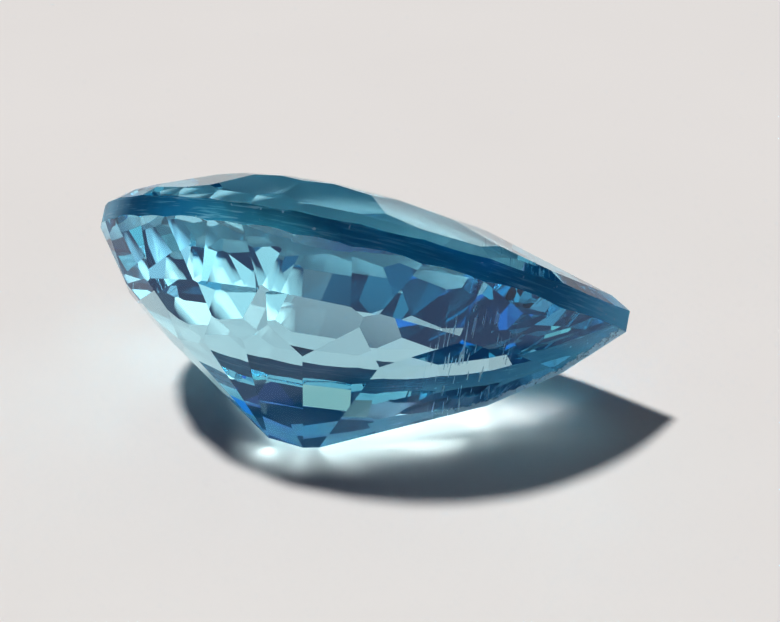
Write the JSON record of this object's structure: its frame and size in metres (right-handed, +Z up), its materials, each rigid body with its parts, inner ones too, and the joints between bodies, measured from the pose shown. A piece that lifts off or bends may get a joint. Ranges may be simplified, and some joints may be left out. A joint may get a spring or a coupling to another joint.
{
  "type": "pear-cut topaz gemstone",
  "caption": "Loose pear-shaped faceted blue topaz gemstone, clear all through, resting tilted on one flat facet beside its culet.",
  "frame": {"origin": "middle of the stone's bounding box in plan, on the plane of the facet that it lies on", "axes": "+X along the stone's length as it lies, from the round head to the point; +Z up, away from the facet that it lies on; the table faces up and towards +Y"},
  "size_m": [0.0198, 0.0108, 0.0101],
  "materials": {
    "topaz": "clear blue, polished facets, matt girdle"
  },
  "bodies": {
    "root": {"topaz_gem": "topaz"}
  },
  "joints": []
}
